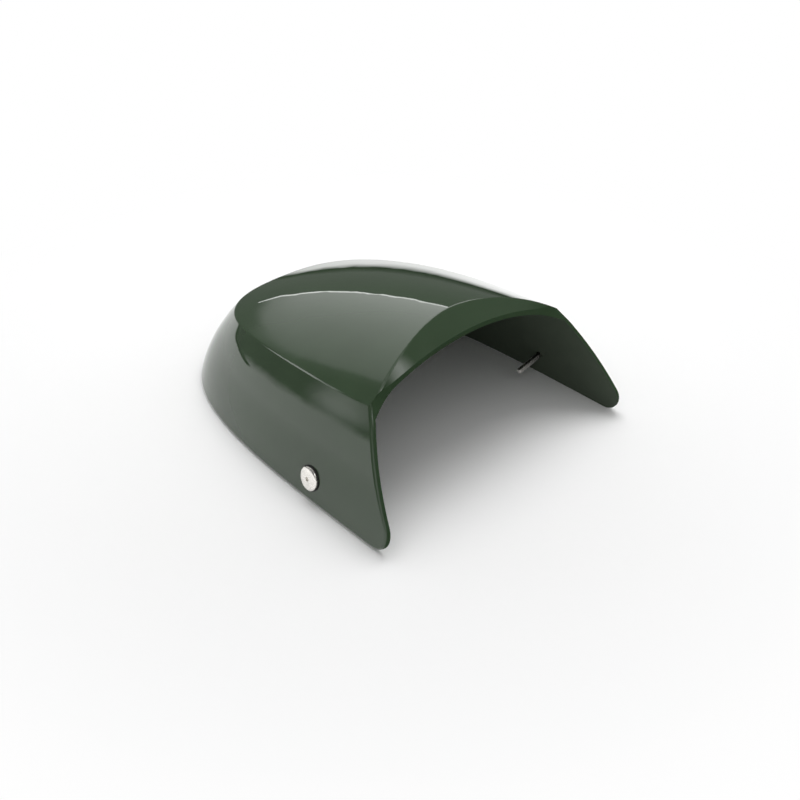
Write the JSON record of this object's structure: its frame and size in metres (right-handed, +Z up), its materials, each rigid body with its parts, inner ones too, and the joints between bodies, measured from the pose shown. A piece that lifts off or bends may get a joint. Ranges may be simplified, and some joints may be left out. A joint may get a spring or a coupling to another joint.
{
  "type": "seat cowl",
  "caption": "Motorcycle seat cowl: a domed glossy moulded shell with raked flanks and a lipped front opening, fixed by a screw and rubber washer through each side.",
  "frame": {"origin": "on the plane of the bottom rim, under the middle of the cowl's length and width", "axes": "+Z up, -Y towards the open front, +Y towards the tail, +X to the rider's left"},
  "size_m": [0.2538, 0.3024, 0.1139],
  "materials": {
    "shell_paint": "gloss",
    "screw_steel": "satin",
    "washer_rubber": "matt"
  },
  "bodies": {
    "root": {"cowl_shell": "shell_paint", "fixing_screws": "screw_steel", "screw_washers": "washer_rubber"}
  },
  "joints": []
}
